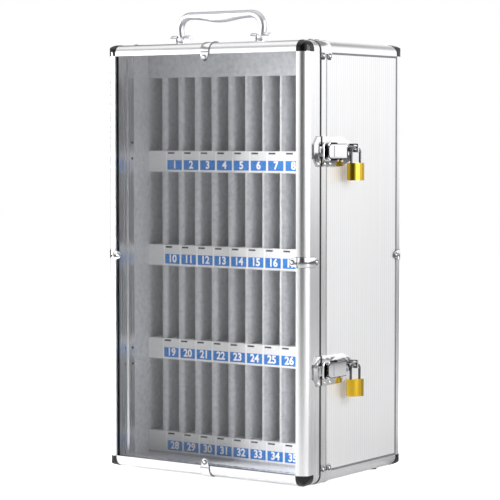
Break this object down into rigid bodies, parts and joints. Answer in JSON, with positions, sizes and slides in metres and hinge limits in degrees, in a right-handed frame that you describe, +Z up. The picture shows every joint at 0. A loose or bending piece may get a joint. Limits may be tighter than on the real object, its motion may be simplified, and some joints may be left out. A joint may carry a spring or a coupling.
{
  "type": "cell phone locker box",
  "caption": "Upright aluminium case with a clear hinged door, numbered felt-lined slots for handsets, draw latches with small padlocks, and a fold-down carrying handle.",
  "frame": {"origin": "centre of the whole object in plan, on the plane under its feet", "axes": "+Z up; the door faces -Y; the latches and padlocks are on the +X side and the door's hinges on the -X side"},
  "size_m": [0.314, 0.2202, 0.552],
  "materials": {
    "fluted_board": "satin, finely fluted",
    "aluminium": "satin anodised",
    "chrome": "polished",
    "black_plastic": "gloss",
    "black_rubber": "matt",
    "felt": "grey felt",
    "label": "printed strip",
    "acrylic": "clear",
    "brass": "brushed"
  },
  "bodies": {
    "cabinet": {"side_panel_right": "fluted_board", "side_panel_left": "fluted_board", "top_panel": "fluted_board", "bottom_panel": "fluted_board", "back_panel": "fluted_board", "rim_right": "aluminium", "rim_left": "aluminium", "rim_top": "aluminium", "rim_bottom": "aluminium", "rear_post_right": "aluminium", "rear_post_left": "aluminium", "rear_rail_top": "aluminium", "rear_rail_bottom": "aluminium", "edge_rail_top_right": "aluminium", "edge_rail_top_left": "aluminium", "edge_rail_bottom_right": "aluminium", "edge_rail_bottom_left": "aluminium", "rear_corner_caps": "black_plastic", "corner_clips": "chrome", "rear_edge_clips": "chrome", "body_rivets": "chrome", "feet": "black_rubber", "side_linings": "felt", "floor_and_roof_linings": "felt", "back_lining": "felt", "header_block": "felt", "shelves": "felt", "dividers_row_1": "felt", "dividers_row_2": "felt", "dividers_row_3": "felt", "dividers_row_4": "felt", "label_strips": "label", "handle_plates": "chrome", "handle_pins": "chrome", "latch_bases": "chrome", "latch_pivot_pins": "chrome", "hinge_leaves_body": "chrome", "hinge_pins": "chrome"},
    "door": {"door_stile_right": "aluminium", "door_stile_left": "aluminium", "door_rail_top": "aluminium", "door_rail_bottom": "aluminium", "door_window": "acrylic", "window_seal": "black_rubber", "door_corner_caps": "black_plastic", "door_clips": "chrome", "door_rivets": "chrome", "latch_keepers": "chrome", "hinge_leaves_door": "chrome"},
    "latch_lever_upper": {"latch_lever_upper": "chrome"},
    "latch_lever_lower": {"latch_lever_lower": "chrome"},
    "latch_loop_upper": {"latch_loop_upper": "chrome"},
    "latch_loop_lower": {"latch_loop_lower": "chrome"},
    "padlock_shackle_upper": {"padlock_shackle_upper": "chrome"},
    "padlock_shackle_lower": {"padlock_shackle_lower": "chrome"},
    "padlock_body_upper": {"padlock_body_upper": "brass"},
    "padlock_body_lower": {"padlock_body_lower": "brass"},
    "padlock_plug_upper": {"padlock_plug_upper": "brass"},
    "padlock_plug_lower": {"padlock_plug_lower": "brass"},
    "carrying_handle": {"carrying_handle": "chrome"}
  },
  "joints": [
    {"name": "door_hinge", "type": "hinge", "parent": "cabinet", "child": "door", "pos_m": [-0.15443, -0.0764, 0.2605], "axis": [0, 0, -1], "range_deg": [0, 165]},
    {"name": "latch_lever_upper_hinge", "type": "hinge", "parent": "cabinet", "child": "latch_lever_upper", "pos_m": [0.14197, -0.07, 0.3865], "axis": [0, 0, -1], "range_deg": [0, 95]},
    {"name": "latch_loop_upper_hinge", "type": "hinge", "parent": "latch_lever_upper", "child": "latch_loop_upper", "pos_m": [0.14197, -0.0654, 0.3865], "axis": [0, 0, -1], "range_deg": [-95, 0]},
    {"name": "padlock_shackle_upper_swing", "type": "hinge", "parent": "latch_lever_upper", "child": "padlock_shackle_upper", "pos_m": [0.14917, -0.0206, 0.3909], "axis": [-0.454, -0.891, 0], "range_deg": [-5, 50]},
    {"name": "padlock_body_upper_release", "type": "slide", "parent": "padlock_shackle_upper", "child": "padlock_body_upper", "axis": [0, 0, -1], "range_m": [0, 0.007]},
    {"name": "padlock_plug_upper_turn", "type": "hinge", "parent": "padlock_body_upper", "child": "padlock_plug_upper", "pos_m": [0.14917, -0.0206, 0.3565], "axis": [0, 0, -1], "range_deg": [0, 90]},
    {"name": "latch_lever_lower_hinge", "type": "hinge", "parent": "cabinet", "child": "latch_lever_lower", "pos_m": [0.14197, -0.07, 0.1345], "axis": [0, 0, -1], "range_deg": [0, 95]},
    {"name": "latch_loop_lower_hinge", "type": "hinge", "parent": "latch_lever_lower", "child": "latch_loop_lower", "pos_m": [0.14197, -0.0654, 0.1345], "axis": [0, 0, -1], "range_deg": [-95, 0]},
    {"name": "padlock_shackle_lower_swing", "type": "hinge", "parent": "latch_lever_lower", "child": "padlock_shackle_lower", "pos_m": [0.14917, -0.0206, 0.1389], "axis": [-0.454, -0.891, 0], "range_deg": [-5, 50]},
    {"name": "padlock_body_lower_release", "type": "slide", "parent": "padlock_shackle_lower", "child": "padlock_body_lower", "axis": [0, 0, -1], "range_m": [0, 0.007]},
    {"name": "padlock_plug_lower_turn", "type": "hinge", "parent": "padlock_body_lower", "child": "padlock_plug_lower", "pos_m": [0.14917, -0.0206, 0.1045], "axis": [0, 0, -1], "range_deg": [0, 90]},
    {"name": "carrying_handle_hinge", "type": "hinge", "parent": "cabinet", "child": "carrying_handle", "pos_m": [-0.01323, -0.062, 0.5198], "axis": [1, 0, 0], "range_deg": [-85, 85]}
  ],
  "couplings": [
    {"joint": "latch_loop_upper_hinge", "follows": "latch_lever_upper_hinge", "ratio": -1},
    {"joint": "latch_loop_lower_hinge", "follows": "latch_lever_lower_hinge", "ratio": -1}
  ]
}
